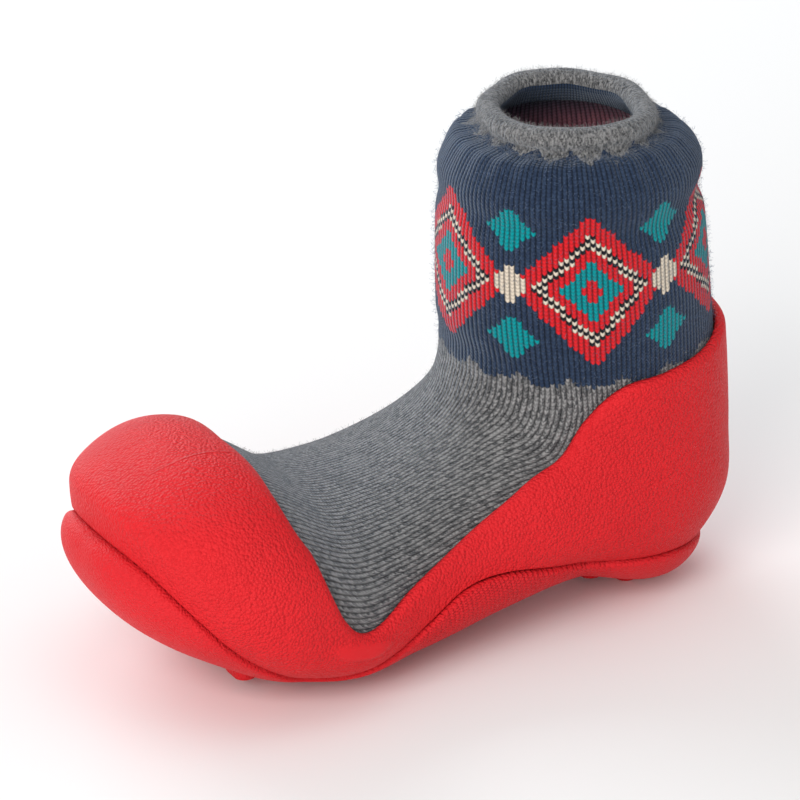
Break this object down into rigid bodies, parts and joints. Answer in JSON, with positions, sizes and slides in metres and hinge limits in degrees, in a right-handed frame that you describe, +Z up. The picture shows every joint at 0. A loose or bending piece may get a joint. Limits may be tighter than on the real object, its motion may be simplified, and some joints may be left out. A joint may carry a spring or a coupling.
{
  "type": "sock shoe",
  "caption": "Toddler's sock shoe for the right foot: hollow knitted upper open at a rolled collar, held in a moulded rubber shell with toe cap and heel counter over a lugged sole.",
  "frame": {"origin": "on the floor under the middle of the shoe's bounding box", "axes": "+X from the heel to the toe, +Y to the wearer's left, which is the inner side of this right shoe, +Z up"},
  "size_m": [0.126, 0.0676, 0.0898],
  "materials": {
    "knit": "grey heather and navy rib knit, matte and slightly fuzzy",
    "shell_rubber": "semi-matte red moulded rubber with a fine pebble grain",
    "sole_rubber": "semi-matte red moulded rubber",
    "foot_bed": "rose cloth over foam, matte"
  },
  "bodies": {
    "root": {"sock": "knit", "shell": "shell_rubber", "outsole": "sole_rubber", "insole": "foot_bed"}
  },
  "joints": []
}
